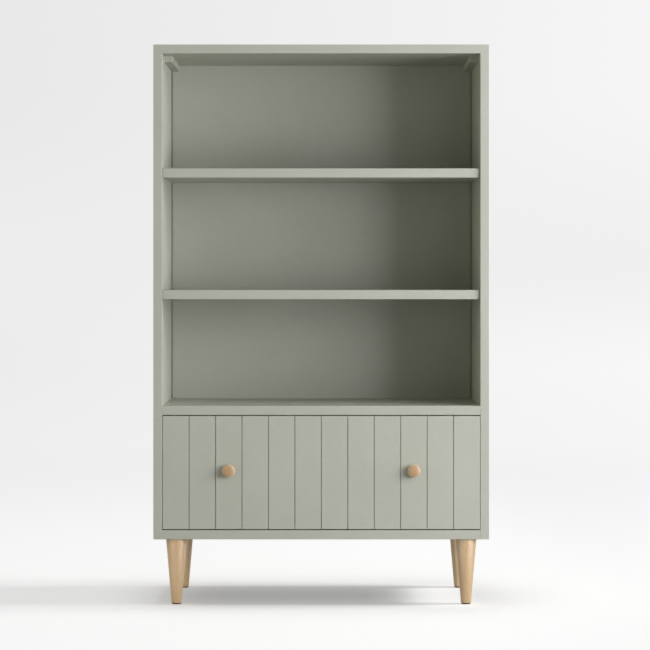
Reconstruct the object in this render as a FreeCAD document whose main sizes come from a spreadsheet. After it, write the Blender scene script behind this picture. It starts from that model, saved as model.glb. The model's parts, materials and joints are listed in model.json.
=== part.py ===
import FreeCAD, Part
import os
import re
import Sketcher
from FreeCAD import Placement, Rotation, Vector

# A bookcase with three open bays over one wide drawer, on four turned legs.
# The part's frame is +Z up, with the floor at zero and the middle of the plan at the origin.
# Each piece is drawn with X from the middle, Y back from the front of the case and Z from the floor,
# and is then moved so that the plan, knobs included, is centred on the origin.

# Driving sizes, in millimetres

CASE_SIZES = [
    ("case_width", "914"),
    ("case_depth", "400"),
    ("side_thickness", "24"),
    ("top_thickness", "24"),
    ("board_thickness", "25"),
    ("drawer_opening_height", "313.5"),
    ("lower_bay_height", "290"),
    ("middle_bay_height", "306.5"),
    ("upper_bay_height", "313"),
    ("edge_radius", "1"),
    ("seam_radius", "0.4"),
]

BACK_SIZES = [
    ("back_thickness", "6"),
    ("back_recess", "22"),
    ("back_lap", "10"),
    ("back_edge_clearance", "0.5"),
    ("back_groove_width", "4"),
    ("back_groove_depth", "3"),
    ("back_screw_diameter", "3"),
    ("back_screw_head_diameter", "6"),
    ("back_screw_length", "15"),
]

SHELF_SIZES = [
    ("shelf_setback", "7"),
    ("shelf_side_gap", "0.7"),
    ("shelf_rear_gap", "2"),
    ("pin_diameter", "5"),
    ("pin_hole_depth", "12"),
    ("pin_seat", "10"),
    ("pin_reach", "8"),
    ("pin_chamfer", "0.5"),
    ("pin_slot_clearance", "0.3"),
    ("pin_slot_end_gap", "1"),
    ("pin_inset", "50"),
    ("pin_hole_pitch", "32"),
]

CLEAT_SIZES = [
    ("cleat_width", "23"),
    ("cleat_height", "17"),
    ("cleat_setback", "80"),
    ("cleat_screw_diameter", "4"),
    ("cleat_screw_head_diameter", "8"),
    ("cleat_screw_length", "32"),
    ("cleat_screw_offset", "20"),
]

JOINERY_SIZES = [
    ("dowel_diameter", "8"),
    ("dowel_length", "35"),
    ("dowel_blind_depth", "13"),
    ("dowel_end_gap", "1"),
    ("dowel_chamfer", "1"),
    ("dowel_inset", "38"),
    ("cam_inset", "80"),
    ("cam_setback", "24"),
    ("cam_diameter", "15"),
    ("cam_height", "16"),
    ("cam_mouth_width", "8"),
    ("cam_bolt_diameter", "7"),
    ("cam_bolt_neck_diameter", "4"),
    ("cam_bolt_neck_length", "5"),
    ("cam_bolt_head_length", "3"),
    ("cam_bolt_thread_diameter", "5"),
    ("cam_bolt_thread_length", "11"),
    ("fit_clearance", "0.05"),
    ("recess_width", "1"),
    ("overrun", "2"),
]

LEG_SIZES = [
    ("leg_length", "177"),
    ("leg_top_diameter", "58"),
    ("leg_foot_diameter", "28"),
    ("leg_foot_radius", "1.5"),
    ("leg_side_inset", "61"),
    ("leg_end_inset", "36"),
    ("glide_thickness", "3"),
    ("glide_diameter", "25"),
    ("glide_spigot_diameter", "8"),
    ("glide_spigot_length", "12"),
    ("leg_bolt_diameter", "8"),
    ("leg_bolt_leg_length", "40"),
    ("leg_bolt_case_length", "16"),
    ("leg_bolt_end_gap", "2"),
    ("insert_diameter", "12"),
    ("insert_length", "18"),
    ("insert_flange_diameter", "18"),
    ("insert_flange_thickness", "1.5"),
]

DRAWER_SIZES = [
    ("front_thickness", "20"),
    ("front_side_gap", "1.2"),
    ("front_end_gap", "2.5"),
    ("plank_count", "12"),
    ("groove_width", "2.2"),
    ("groove_depth", "3"),
    ("box_rear_gap", "42"),
    ("box_height", "240"),
    ("box_floor_gap", "16"),
    ("box_side_thickness", "12"),
    ("box_end_thickness", "15"),
    ("box_edge_radius", "1"),
    ("box_bottom_thickness", "6"),
    ("box_bottom_height", "12"),
    ("box_bottom_lap", "6"),
    ("box_bottom_clearance", "0.3"),
    ("box_screw_diameter", "3.5"),
    ("box_screw_head_diameter", "7"),
    ("box_screw_length", "40"),
    ("box_screw_corner_inset", "35"),
    ("front_screw_diameter", "4"),
    ("front_screw_head_diameter", "8"),
    ("front_screw_length", "28"),
    ("front_screw_side_inset", "60"),
    ("front_screw_end_inset", "50"),
]

KNOB_SIZES = [
    ("knob_diameter", "35"),
    ("knob_projection", "22"),
    ("knob_stem_diameter", "18"),
    ("knob_stem_length", "6"),
    ("knob_rim_radius", "6"),
    ("knob_back_radius", "3"),
    ("knob_raise", "5.5"),
    ("knob_planks_in", "2.5"),
    ("knob_screw_diameter", "4"),
    ("knob_screw_reach", "11"),
    ("knob_screw_end_gap", "2"),
    ("knob_screw_head_diameter", "9"),
    ("knob_screw_head_height", "2.4"),
]

RAIL_SIZES = [
    ("rail_space", "12.7"),
    ("rail_height", "45"),
    ("rail_thickness", "1.2"),
    ("rail_setback", "3"),
    ("rail_end_gap", "7"),
    ("rail_rise", "120"),
    ("rail_lip_gap", "1.5"),
    ("rail_web_gap", "1.4"),
    ("ball_diameter", "4.5"),
    ("ball_clearance", "0.05"),
    ("race_depth", "0.3"),
    ("ball_end_inset", "8"),
    ("cage_thickness", "0.5"),
    ("cage_margin", "10"),
    ("cage_lip", "1.2"),
    ("cage_hole_clearance", "0.1"),
    ("rail_screw_diameter", "3.5"),
    ("rail_screw_length", "10"),
    ("rail_screw_end_inset", "30"),
]

# Places worked out from the driving sizes

PLACES = [
    ("front_plane", "(knob_projection - case_depth) / 2"),
    ("half_width", "case_width / 2"),
    ("inner_half_width", "half_width - side_thickness"),
    ("case_bottom", "glide_thickness + leg_length"),
    ("bottom_top", "case_bottom + board_thickness"),
    ("deck_bottom", "bottom_top + drawer_opening_height"),
    ("deck_top", "deck_bottom + board_thickness"),
    ("lower_shelf_bottom", "deck_top + lower_bay_height"),
    ("upper_shelf_bottom", "lower_shelf_bottom + board_thickness + middle_bay_height"),
    ("top_bottom", "upper_shelf_bottom + board_thickness + upper_bay_height"),
    ("case_top", "top_bottom + top_thickness"),
    ("back_rear", "case_depth - back_recess"),
    ("back_front", "back_rear - back_thickness"),
    ("back_screw_line", "inner_half_width + back_lap / 2"),
    ("pin_rear", "back_front - pin_inset"),
    ("pin_front", "shelf_setback + pin_inset"),
    ("cleat_bottom", "top_bottom - cleat_height"),
    ("cleat_side_screw_front", "case_depth / 2 - cleat_screw_offset"),
    ("cleat_side_screw_rear", "case_depth - dowel_inset - cleat_screw_offset"),
    ("cleat_top_screw_front", "case_depth / 2 + cleat_screw_offset"),
    ("cleat_top_screw_rear", "cleat_side_screw_rear - 2 * cleat_screw_offset"),
    ("leg_x", "half_width - leg_side_inset"),
    ("leg_rear", "case_depth - leg_end_inset"),
    ("front_half_width", "inner_half_width - front_side_gap"),
    ("front_bottom", "bottom_top + front_end_gap"),
    ("front_top", "deck_bottom - front_end_gap"),
    ("plank_pitch", "2 * front_half_width / plank_count"),
    ("box_half_width", "inner_half_width - rail_space"),
    ("box_inner_half_width", "box_half_width - box_side_thickness"),
    ("box_rear", "back_front - box_rear_gap"),
    ("box_bottom", "bottom_top + box_floor_gap"),
    ("box_top", "box_bottom + box_height"),
    ("floor_bottom", "box_bottom + box_bottom_height"),
    ("floor_top", "floor_bottom + box_bottom_thickness"),
    ("inner_front_rear", "front_thickness + box_end_thickness"),
    ("box_back_front", "box_rear - box_end_thickness"),
    ("knob_x", "front_half_width - knob_planks_in * plank_pitch"),
    ("knob_z", "(front_bottom + front_top) / 2 + knob_raise"),
    ("rail_front", "front_thickness + rail_setback"),
    ("rail_length", "box_rear - rail_end_gap - rail_front"),
    ("drawer_travel", "rail_length"),
    ("rail_middle", "rail_front + rail_length / 2"),
    ("rail_z", "box_bottom + rail_rise"),
    ("cabinet_half", "rail_height / 2"),
    ("ball_radius", "ball_diameter / 2"),
    ("ball_seat", "ball_radius + ball_clearance - race_depth"),
    ("outer_row", "cabinet_half - rail_thickness - ball_seat"),
    ("middle_half", "outer_row - ball_seat"),
    ("inner_row", "middle_half - rail_thickness - ball_seat"),
    ("drawer_rail_half", "inner_row - ball_seat"),
    ("middle_web", "rail_thickness + rail_web_gap"),
    ("drawer_rail_lip", "middle_web + rail_thickness + rail_web_gap"),
    ("middle_lip", "rail_space - rail_lip_gap"),
    ("cabinet_lip", "middle_lip - rail_lip_gap / 2"),
    ("outer_ball_x", "(middle_web + cabinet_lip) / 2"),
    ("inner_ball_x", "(drawer_rail_lip + middle_lip) / 2"),
    ("cage_length", "rail_length - drawer_travel / 2 - cage_margin"),
    ("cage_front", "rail_middle - cage_length / 2"),
]

# Where fasteners stand along the piece that they hold, as shares of it

SIDE_SCREW_SHARES = (0.03, 0.35, 0.65, 0.97)
BOARD_SCREW_SHARES = (-0.7, 0, 0.7)
RECESS_DEPTH_SHARE = 0.6
BALLS_IN_ROW = 7
PIN_HOLE_STEPS = (-1, 0, 1)
COUNTERSINK_TAPER = -45

LEFT = -1
RIGHT = 1
SIDES = {"left": LEFT, "right": RIGHT}
PLANES = {"X": "YZ_Plane", "Y": "XZ_Plane", "Z": "XY_Plane"}
DOWN = Vector(0, 0, -1)
UP = Vector(0, 0, 1)
FORWARD = Vector(0, -1, 0)
BACKWARD = Vector(0, 1, 0)

document = FreeCAD.newDocument("bookcase_with_drawer")
sheet_of_name = {}


# The sheets of sizes and places

def fill_sheet(label, rows):
    sheet = document.addObject("Spreadsheet::Sheet", label)
    for number, (name, text) in enumerate(rows, start=1):
        sheet.set(f"A{number}", name)
        sheet.set(f"B{number}", text)
        sheet.setAlias(f"B{number}", name)
        sheet_of_name[name] = label
    return sheet


def formula(text):
    """The text as an expression, with each size's sheet before its name."""
    def with_sheet(match):
        name = match.group()
        return f"{sheet_of_name[name]}.{name}" if name in sheet_of_name else name
    return re.sub(r"[a-z][a-z_]*", with_sheet, str(text))


def lay_out(rows):
    sheet = document.addObject("Spreadsheet::Sheet", "Places")
    for number, (name, text) in enumerate(rows, start=1):
        sheet.set(f"A{number}", name)
        sheet.set(f"B{number}", "=" + formula(text))
        sheet.setAlias(f"B{number}", name)
        sheet_of_name[name] = "Places"
    return sheet


all_sizes = (CASE_SIZES + BACK_SIZES + SHELF_SIZES + CLEAT_SIZES + JOINERY_SIZES
             + LEG_SIZES + DRAWER_SIZES + KNOB_SIZES + RAIL_SIZES)
sizes = fill_sheet("Sizes", all_sizes)
places = lay_out(PLACES)
document.recompute()


def value(text):
    return float(places.evalExpression(formula(text)))


# Sketches, and the features that use them

def new_body(label):
    body = document.addObject("PartDesign::Body", label)
    body.Label = label
    return body


def new_piece(label):
    """A body drawn in the case's own coordinates and moved with the front plane."""
    body = new_body(label)
    body.setExpression("Placement.Base.y", formula("front_plane"))
    return body


def origin_feature(body, role):
    return next(feature for feature in body.Origin.OriginFeatures if feature.Role == role)


def new_sketch(body, axis, level):
    """A sketch square to an axis, at a level along it."""
    sketch = body.newObject("Sketcher::SketchObject", f"{body.Label}_sketch")
    sketch.AttachmentSupport = [(origin_feature(body, PLANES[axis]), "")]
    sketch.MapMode = "FlatFace"
    sign = "-" if axis == "Y" else ""
    sketch.setExpression("AttachmentOffset.Base.z", formula(f"{sign}({level})"))
    return sketch


def bind(sketch, kind, geometry, point, text):
    """Ties a point's distance from the sketch's origin to an expression."""
    constraint = Sketcher.Constraint(kind, -1, 1, geometry, point, value(text))
    number = sketch.addConstraint(constraint)
    sketch.setExpression(f"Constraints[{number}]", formula(text))


def polygon(sketch, points):
    corners = [Vector(value(x), value(y), 0) for x, y in points]
    lines = []
    for start, end in zip(corners, corners[1:] + corners[:1]):
        lines.append(sketch.addGeometry(Part.LineSegment(start, end), False))
    for line, following in zip(lines, lines[1:] + lines[:1]):
        sketch.addConstraint(Sketcher.Constraint("Coincident", line, 2, following, 1))
    for line, (x, y) in zip(lines, points):
        bind(sketch, "DistanceX", line, 1, x)
        bind(sketch, "DistanceY", line, 1, y)


def rectangle(sketch, left, bottom, right, top):
    polygon(sketch, [(left, bottom), (right, bottom), (right, top), (left, top)])


def circles(sketch, centres, diameter):
    for x, y in centres:
        centre = Vector(value(x), value(y), 0)
        circle = sketch.addGeometry(Part.Circle(centre, UP, value(diameter) / 2), False)
        bind(sketch, "DistanceX", circle, 3, x)
        bind(sketch, "DistanceY", circle, 3, y)
        number = sketch.addConstraint(Sketcher.Constraint("Diameter", circle, value(diameter)))
        sketch.setExpression(f"Constraints[{number}]", formula(diameter))


def pad(body, axis, sketch, length):
    """Raises the sketch along its axis, towards plus."""
    feature = body.newObject("PartDesign::Pad", f"{body.Label}_pad")
    feature.Profile = sketch
    feature.setExpression("Length", formula(length))
    feature.Reversed = axis == "Y"
    sketch.Visibility = False
    return feature


def pocket(body, axis, sketch, depth, toward, taper=0):
    """Cuts the sketch into the body, towards plus or minus along its axis."""
    feature = body.newObject("PartDesign::Pocket", f"{body.Label}_pocket")
    feature.Profile = sketch
    feature.setExpression("Length", formula(depth))
    feature.Reversed = (toward > 0) != (axis == "Y")
    feature.TaperAngle = taper
    sketch.Visibility = False
    return feature


def revolve(body, points):
    """Turns a half outline of radius and height about the body's upright axis."""
    sketch = new_sketch(body, "Y", 0)
    polygon(sketch, points)
    feature = body.newObject("PartDesign::Revolution", f"{body.Label}_revolution")
    feature.Profile = sketch
    feature.ReferenceAxis = (sketch, ["V_Axis"])
    feature.Angle = 360
    sketch.Visibility = False


def board(label, left, right, front, rear, bottom, top):
    """A flat board between six planes."""
    body = new_piece(label)
    sketch = new_sketch(body, "Z", bottom)
    rectangle(sketch, left, front, right, rear)
    pad(body, "Z", sketch, f"({top}) - ({bottom})")
    return body


def ease(body, radius, chosen):
    """Rounds the edges of a plain board whose middles, as shares of its box, are chosen."""
    document.recompute()
    base = body.Tip
    box = base.Shape.BoundBox
    names = []
    for number, edge in enumerate(base.Shape.Edges, start=1):
        middle = edge.BoundBox.Center
        shares = (round((middle.x - box.XMin) / box.XLength, 1),
                  round((middle.y - box.YMin) / box.YLength, 1),
                  round((middle.z - box.ZMin) / box.ZLength, 1))
        if chosen(*shares):
            names.append(f"Edge{number}")
    feature = body.newObject("PartDesign::Fillet", f"{body.Label}_fillet")
    feature.Base = (base, names)
    feature.setExpression("Radius", formula(radius))


def drill(body, axis, level, toward, centres, diameter, depth):
    """Round holes with the running clearance of what goes in them."""
    sketch = new_sketch(body, axis, level)
    circles(sketch, centres, f"{diameter} + 2 * fit_clearance")
    return pocket(body, axis, sketch, depth, toward)


def countersink(body, axis, level, toward, centres, head_diameter, diameter):
    """Right-angled cones that let screw heads in flush."""
    sketch = new_sketch(body, axis, level)
    circles(sketch, centres, f"{head_diameter} + 2 * fit_clearance")
    pocket(body, axis, sketch, f"({head_diameter} - {diameter}) / 2", toward,
           taper=COUNTERSINK_TAPER)


def screw_master(name, diameter, head_diameter, length):
    """A countersunk wood screw, head up, its head's face at the origin."""
    body = new_body(name)
    cone = f"({head_diameter} - {diameter}) / 2"
    revolve(body, [
        ("0", "0"),
        (f"{head_diameter} / 2", "0"),
        (f"{diameter} / 2", f"-({cone})"),
        (f"{diameter} / 2", f"{diameter} - {length}"),
        ("0", f"-{length}"),
    ])
    cross_recess(body, "0", f"{head_diameter} / 3", f"({cone}) * {RECESS_DEPTH_SHARE}")
    return body


def cross_recess(body, level, reach, depth):
    """The driver's cross, cut down into a head."""
    sketch = new_sketch(body, "Z", level)
    narrow = "recess_width / 2"
    corners = [(reach, narrow), (narrow, narrow), (narrow, reach)]
    points = list(corners)
    points += [(f"-({x})", y) for x, y in reversed(corners)]
    points += [(f"-({x})", f"-({y})") for x, y in corners]
    points += [(x, f"-({y})") for x, y in reversed(corners)]
    polygon(sketch, points)
    pocket(body, "Z", sketch, depth, -1)


def group(label, master, stands):
    """Separate copies of one fastener, each stood at a place and pointed along a direction."""
    copies = []
    for number, ((x, y, z), direction) in enumerate(stands, start=1):
        copy = document.addObject("App::Link", f"{label}_{number}")
        copy.LinkedObject = master
        copy.LinkTransform = False
        copy.LinkPlacement = Placement(Vector(), Rotation(DOWN, direction))
        copy.setExpression("LinkPlacement.Base.x", formula(x))
        copy.setExpression("LinkPlacement.Base.y", formula(y))
        copy.setExpression("LinkPlacement.Base.z", formula(z))
        copies.append(copy)
    compound = document.addObject("Part::Compound", label)
    compound.Label = label
    compound.Links = copies
    compound.setExpression("Placement.Base.y", formula("front_plane"))
    return compound


def outward(side):
    return Vector(side, 0, 0)


def inward(side):
    return Vector(-side, 0, 0)


# The case's boards

def back_screw_rows():
    """Centres of the screws that hold the back, under the name of the board they enter."""
    rows = {}
    for name, side in SIDES.items():
        rows[f"{name}_side_panel"] = [
            (f"{side} * back_screw_line", f"bottom_top + {share} * (top_bottom - bottom_top)")
            for share in SIDE_SCREW_SHARES]
    levels = {
        "top_panel": "top_bottom + back_lap / 2",
        "bottom_panel": "bottom_top - back_lap / 2",
        "drawer_deck": "deck_bottom + board_thickness / 2",
    }
    for label, level in levels.items():
        rows[label] = [(f"{share} * inner_half_width", level) for share in BOARD_SCREW_SHARES]
    return rows


def drill_for_back(body):
    drill(body, "Y", "back_front", -1, back_screw_rows()[body.Label],
          "back_screw_diameter", "back_screw_length - back_thickness + fit_clearance")


def top_dowel_places(side):
    x = f"{side} * (half_width - side_thickness / 2)"
    return [(x, "dowel_inset"), (x, "case_depth / 2"), (x, "case_depth - dowel_inset")]


def cleat_top_screw_places(side):
    x = f"{side} * (inner_half_width - cleat_width / 2)"
    return [(x, y) for y in ("cleat_top_screw_front", "cleat_top_screw_rear")]


def cleat_side_screw_places():
    z = "top_bottom - cleat_height / 2"
    return [(y, z) for y in ("cleat_side_screw_front", "cleat_side_screw_rear")]


def make_top_panel():
    body = board("top_panel", "-half_width", "half_width", "0", "case_depth",
                 "top_bottom", "case_top")
    ease(body, "edge_radius", lambda x, y, z: z == 1 or z == 0.5)
    ease(body, "seam_radius", lambda x, y, z: z == 0 and (x != 0.5 or y == 0))
    rebate = new_sketch(body, "Z", "top_bottom")
    reach = "(inner_half_width + back_lap)"
    rectangle(rebate, f"-{reach}", "back_front", reach, "case_depth + overrun")
    pocket(body, "Z", rebate, "back_lap", 1)
    for side in SIDES.values():
        drill(body, "Z", "top_bottom", 1, top_dowel_places(side),
              "dowel_diameter", "dowel_blind_depth")
        drill(body, "Z", "top_bottom", 1, cleat_top_screw_places(side),
              "cleat_screw_diameter", "cleat_screw_length - cleat_height + fit_clearance")
    drill_for_back(body)


def board_joint_levels():
    """Heights of the two boards that are joined between the sides."""
    return ["case_bottom + board_thickness / 2", "deck_bottom + board_thickness / 2"]


def make_side_panel(name, side):
    inner = f"{side} * inner_half_width"
    body = board(f"{name}_side_panel", inner, f"{side} * half_width", "0", "case_depth",
                 "case_bottom", "top_bottom")
    outer_share = (side + 1) / 2
    ease(body, "edge_radius",
         lambda x, y, z: (z == 0.5 and (y == 0 or x == outer_share)) or (z == 0 and x == outer_share))
    ease(body, "seam_radius", lambda x, y, z: z == 1 and (y == 0 or x == outer_share))
    rebate = new_sketch(body, "Z", "bottom_top - back_lap")
    rectangle(rebate, f"{side} * (inner_half_width - overrun)", "back_front",
              f"{side} * (inner_half_width + back_lap)", "case_depth + overrun")
    pocket(body, "Z", rebate, "top_bottom - bottom_top + back_lap + overrun", 1)
    drill(body, "Z", "top_bottom", -1, top_dowel_places(side),
          "dowel_diameter", "dowel_length - dowel_blind_depth + 2 * dowel_end_gap")
    for level in board_joint_levels():
        dowels = [("dowel_inset", level), ("back_front - dowel_inset", level)]
        drill(body, "X", inner, side, dowels, "dowel_diameter", "dowel_blind_depth")
        bolts = [("cam_inset", level), ("back_front - cam_inset", level)]
        drill(body, "X", inner, side, bolts, "cam_bolt_thread_diameter", "cam_bolt_thread_length")
    pin_holes = [(y, f"{shelf} + pin_diameter / 2 + {step} * pin_hole_pitch")
                 for shelf in ("lower_shelf_bottom", "upper_shelf_bottom")
                 for y in ("pin_front", "pin_rear")
                 for step in PIN_HOLE_STEPS]
    drill(body, "X", inner, side, pin_holes, "pin_diameter", "pin_hole_depth")
    drill(body, "X", inner, side, cleat_side_screw_places(),
          "cleat_screw_diameter", "cleat_screw_length - cleat_width + fit_clearance")
    drill(body, "X", inner, side, rail_screw_places(),
          "rail_screw_diameter", "rail_screw_length - rail_thickness + fit_clearance")
    drill_for_back(body)


def cut_board_joints(body, underside):
    """Dowel holes, bolt holes and cam pockets at the left end of a board, mirrored to the right."""
    level = f"{underside} + board_thickness / 2"
    dowels = [("dowel_inset", level), ("back_front - dowel_inset", level)]
    bolts = [("cam_inset", level), ("back_front - cam_inset", level)]
    cams = [("cam_setback - inner_half_width", y) for y in ("cam_inset", "back_front - cam_inset")]
    cuts = [
        drill(body, "X", "-inner_half_width", 1, dowels, "dowel_diameter",
              "dowel_length - dowel_blind_depth + 2 * dowel_end_gap"),
        drill(body, "X", "-inner_half_width", 1, bolts, "cam_bolt_diameter", "cam_setback"),
        drill(body, "Z", underside, 1, cams, "cam_diameter", "cam_height + fit_clearance"),
    ]
    mirrored = body.newObject("PartDesign::Mirrored", f"{body.Label}_joints_mirrored")
    mirrored.Originals = cuts
    mirrored.MirrorPlane = (origin_feature(body, "YZ_Plane"), [""])
    body.Tip = mirrored


def leg_places():
    return [(f"{side} * leg_x", y) for side in SIDES.values() for y in ("leg_end_inset", "leg_rear")]


def make_bottom_panel():
    body = board("bottom_panel", "-inner_half_width", "inner_half_width", "0", "case_depth",
                 "case_bottom", "bottom_top")
    ease(body, "edge_radius", lambda x, y, z: y == 0 and x == 0.5)
    rebate = new_sketch(body, "Z", "bottom_top")
    reach = "(inner_half_width + overrun)"
    rectangle(rebate, f"-{reach}", "back_front", reach, "case_depth + overrun")
    pocket(body, "Z", rebate, "back_lap", -1)
    cut_board_joints(body, "case_bottom")
    drill(body, "Z", "case_bottom", 1, leg_places(), "insert_diameter", "insert_length")
    drill(body, "Z", "case_bottom", 1, leg_places(),
          "insert_flange_diameter", "insert_flange_thickness")
    drill_for_back(body)


def make_drawer_deck():
    body = board("drawer_deck", "-inner_half_width", "inner_half_width", "0", "back_front",
                 "deck_bottom", "deck_top")
    ease(body, "edge_radius", lambda x, y, z: y == 0 and x == 0.5)
    cut_board_joints(body, "deck_bottom")
    drill_for_back(body)


def make_shelf(label, underside):
    """A board with a slot over each pin, open below, so that the pins don't show."""
    reach = "(inner_half_width - shelf_side_gap)"
    body = board(label, f"-{reach}", reach, "shelf_setback", "back_front - shelf_rear_gap",
                 underside, f"{underside} + board_thickness")
    ease(body, "edge_radius", lambda x, y, z: y != 0.5)
    slots = new_sketch(body, "Z", underside)
    for side in SIDES.values():
        for y in ("pin_front", "pin_rear"):
            rectangle(slots, f"{side} * (inner_half_width - pin_reach - pin_slot_end_gap)",
                      f"{y} - pin_diameter / 2 - pin_slot_clearance",
                      f"{side} * (inner_half_width + overrun)",
                      f"{y} + pin_diameter / 2 + pin_slot_clearance")
    pocket(body, "Z", slots, "pin_diameter", 1)


def make_back_panel():
    reach = "(inner_half_width + back_lap - back_edge_clearance)"
    body = board("back_panel", f"-{reach}", reach, "back_front", "back_rear",
                 "bottom_top - back_lap + back_edge_clearance",
                 "top_bottom + back_lap - back_edge_clearance")
    for side in SIDES.values():
        groove = new_sketch(body, "Z", "bottom_top - back_lap")
        rectangle(groove, f"{side} * (inner_half_width - back_groove_width)", "back_front - overrun",
                  f"{side} * inner_half_width", "back_front + back_groove_depth")
        pocket(body, "Z", groove, "top_bottom - bottom_top + 2 * back_lap", 1)
    centres = [centre for row in back_screw_rows().values() for centre in row]
    drill(body, "Y", "back_rear", -1, centres, "back_screw_diameter", "back_thickness")
    countersink(body, "Y", "back_rear", -1, centres,
                "back_screw_head_diameter", "back_screw_diameter")
    master = screw_master("back_screw", "back_screw_diameter",
                          "back_screw_head_diameter", "back_screw_length")
    group("back_panel_screws", master,
          [((x, "back_rear", z), FORWARD) for x, z in centres])


# The two cleats under the top

def make_cleat(name, side):
    inner = f"{side} * (inner_half_width - cleat_width)"
    body = board(f"{name}_top_cleat", inner, f"{side} * inner_half_width",
                 "cleat_setback", "back_front", "cleat_bottom", "top_bottom")
    inner_share = (1 - side) / 2
    ease(body, "edge_radius",
         lambda x, y, z: (x == inner_share and z == 0) or (y == 0 and (x == inner_share or z == 0)))
    drill(body, "X", inner, side, cleat_side_screw_places(), "cleat_screw_diameter", "cleat_width")
    countersink(body, "X", inner, side, cleat_side_screw_places(),
                "cleat_screw_head_diameter", "cleat_screw_diameter")
    drill(body, "Z", "cleat_bottom", 1, cleat_top_screw_places(side),
          "cleat_screw_diameter", "cleat_height")
    countersink(body, "Z", "cleat_bottom", 1, cleat_top_screw_places(side),
                "cleat_screw_head_diameter", "cleat_screw_diameter")


def make_cleat_screws():
    master = screw_master("cleat_screw", "cleat_screw_diameter",
                          "cleat_screw_head_diameter", "cleat_screw_length")
    stands = []
    for side in SIDES.values():
        inner = f"{side} * (inner_half_width - cleat_width)"
        stands += [((inner, y, z), outward(side)) for y, z in cleat_side_screw_places()]
        stands += [((x, y, "cleat_bottom"), UP) for x, y in cleat_top_screw_places(side)]
    group("cleat_screws", master, stands)


# Dowels, cam bolts and cam locks

def make_dowels():
    master = new_body("dowel")
    flank = "dowel_diameter / 2"
    tip = "(dowel_diameter / 2 - dowel_chamfer)"
    revolve(master, [
        ("0", "0"),
        (tip, "0"),
        (flank, "-dowel_chamfer"),
        (flank, "dowel_chamfer - dowel_length"),
        (tip, "-dowel_length"),
        ("0", "-dowel_length"),
    ])
    seat = "dowel_blind_depth - dowel_end_gap"
    stands = []
    for side in SIDES.values():
        stands += [((x, y, f"top_bottom + {seat}"), DOWN) for x, y in top_dowel_places(side)]
        stands += [((f"{side} * (inner_half_width + {seat})", y, level), inward(side))
                   for level in board_joint_levels()
                   for y in ("dowel_inset", "back_front - dowel_inset")]
    group("case_dowels", master, stands)


def cam_places():
    return [(side, y, level) for side in SIDES.values() for level in board_joint_levels()
            for y in ("cam_inset", "back_front - cam_inset")]


def make_cam_bolts():
    """Each bolt is screwed into a side, with its head caught in a cam."""
    master = new_body("cam_bolt")
    neck_top = "(cam_bolt_neck_length + cam_bolt_head_length / 2 - cam_setback)"
    neck_end = "(cam_bolt_head_length / 2 - cam_setback)"
    head_end = "(-cam_bolt_head_length / 2 - cam_setback)"
    shank = "cam_bolt_diameter / 2"
    neck = "cam_bolt_neck_diameter / 2"
    thread = "cam_bolt_thread_diameter / 2"
    revolve(master, [
        ("0", "cam_bolt_thread_length"),
        (thread, "cam_bolt_thread_length"),
        (thread, "0"),
        (shank, "0"),
        (shank, neck_top),
        (neck, neck_top),
        (neck, neck_end),
        (shank, neck_end),
        (shank, head_end),
        ("0", head_end),
    ])
    group("cam_bolts", master, [((f"{side} * inner_half_width", y, level), inward(side))
                                for side, y, level in cam_places()])


def make_cam_locks():
    """Each cam is a disc with a mouth at its rim for the bolt's head."""
    master = new_body("cam_lock")
    disc = new_sketch(master, "Z", "0")
    circles(disc, [("0", "0")], "cam_diameter")
    pad(master, "Z", disc, "cam_height")
    mouth = new_sketch(master, "Z", "board_thickness / 2 - cam_mouth_width / 2")
    half_mouth = "cam_mouth_width / 2"
    rectangle(mouth, f"-({half_mouth})", f"-({half_mouth})", "cam_diameter", half_mouth)
    pocket(master, "Z", mouth, "cam_mouth_width", 1)
    slot = new_sketch(master, "Z", "0")
    rectangle(slot, "-cam_diameter / 4", "-recess_width / 2", "cam_diameter / 4", "recess_width / 2")
    pocket(master, "Z", slot, "recess_width", 1)
    mirror = document.addObject("Part::Mirroring", "cam_lock_mirrored")
    mirror.Source = master
    mirror.Normal = Vector(1, 0, 0)
    copies = []
    for number, (side, y, level) in enumerate(cam_places(), start=1):
        copy = document.addObject("App::Link", f"cam_locks_{number}")
        copy.LinkedObject = master if side == RIGHT else mirror
        copy.LinkTransform = False
        copy.setExpression("LinkPlacement.Base.x",
                           formula(f"{side} * (inner_half_width - cam_setback)"))
        copy.setExpression("LinkPlacement.Base.y", formula(y))
        copy.setExpression("LinkPlacement.Base.z", formula(f"{level} - board_thickness / 2"))
        copies.append(copy)
    compound = document.addObject("Part::Compound", "cam_locks")
    compound.Label = "cam_locks"
    compound.Links = copies
    compound.setExpression("Placement.Base.y", formula("front_plane"))


# Shelf pins

def make_shelf_pins(label, master, underside):
    level = f"{underside} + pin_diameter / 2"
    group(label, master, [((f"{side} * (inner_half_width - pin_reach)", y, level), outward(side))
                          for side in SIDES.values() for y in ("pin_front", "pin_rear")])


def make_pin_master():
    """A plain pin with eased ends, driven into the side and standing out from its face."""
    master = new_body("shelf_pin")
    stem = "pin_diameter / 2"
    revolve(master, [
        ("0", "0"),
        (f"{stem} - pin_chamfer", "0"),
        (stem, "-pin_chamfer"),
        (stem, "pin_chamfer - pin_reach - pin_seat"),
        (f"{stem} - pin_chamfer", "-pin_reach - pin_seat"),
        ("0", "-pin_reach - pin_seat"),
    ])
    return master


# Legs

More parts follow.
